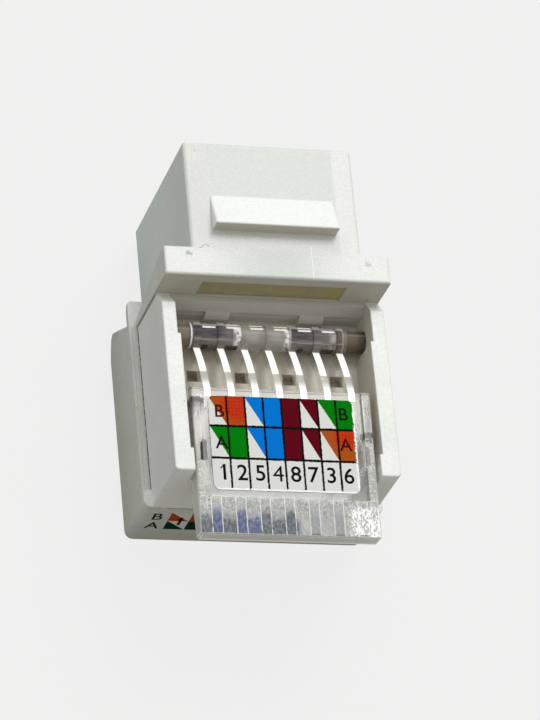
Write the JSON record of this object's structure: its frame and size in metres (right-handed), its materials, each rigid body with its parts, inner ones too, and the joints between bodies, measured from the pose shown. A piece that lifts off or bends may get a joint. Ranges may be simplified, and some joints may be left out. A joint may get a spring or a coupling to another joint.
{
  "type": "keystone network jack",
  "caption": "White snap-in RJ45 keystone jack with a stepped plug opening, a flange and ridge for a wall plate, and a clear hinged lid that presses wires onto forked contacts.",
  "frame": {"origin": "middle of the nose, in the plane where the panel lip meets the front of the flange", "axes": "+Y out of the plug opening, +Z to the lid side, +X across the jack"},
  "size_m": [0.0206, 0.034, 0.0186],
  "materials": {
    "white_body": "satin white ABS",
    "white_block": "satin white ABS",
    "clear_lid": "clear polycarbonate",
    "label": "printed sticker with coloured cells",
    "carrier": "natural PBT",
    "board": "green solder mask",
    "gold": "gold plated",
    "tin": "tin plated"
  },
  "bodies": {
    "jack": {"jack_body": "white_body", "wiring_block": "white_block", "contact_carrier": "carrier", "circuit_board": "board", "plug_contact_1": "gold", "plug_contact_2": "gold", "plug_contact_3": "gold", "plug_contact_4": "gold", "plug_contact_5": "gold", "plug_contact_6": "gold", "plug_contact_7": "gold", "plug_contact_8": "gold", "wire_contact_1": "tin", "wire_contact_2": "tin", "wire_contact_3": "tin", "wire_contact_4": "tin", "wire_contact_5": "tin", "wire_contact_6": "tin", "wire_contact_7": "tin", "wire_contact_8": "tin"},
    "lid": {"wire_lid": "clear_lid", "lid_label": "label"}
  },
  "joints": [
    {"name": "lid_hinge", "type": "hinge", "parent": "jack", "child": "lid", "pos_m": [0, -0.0056, 0.00295], "axis": [-1, 0, 0], "range_deg": [0, 95]}
  ]
}
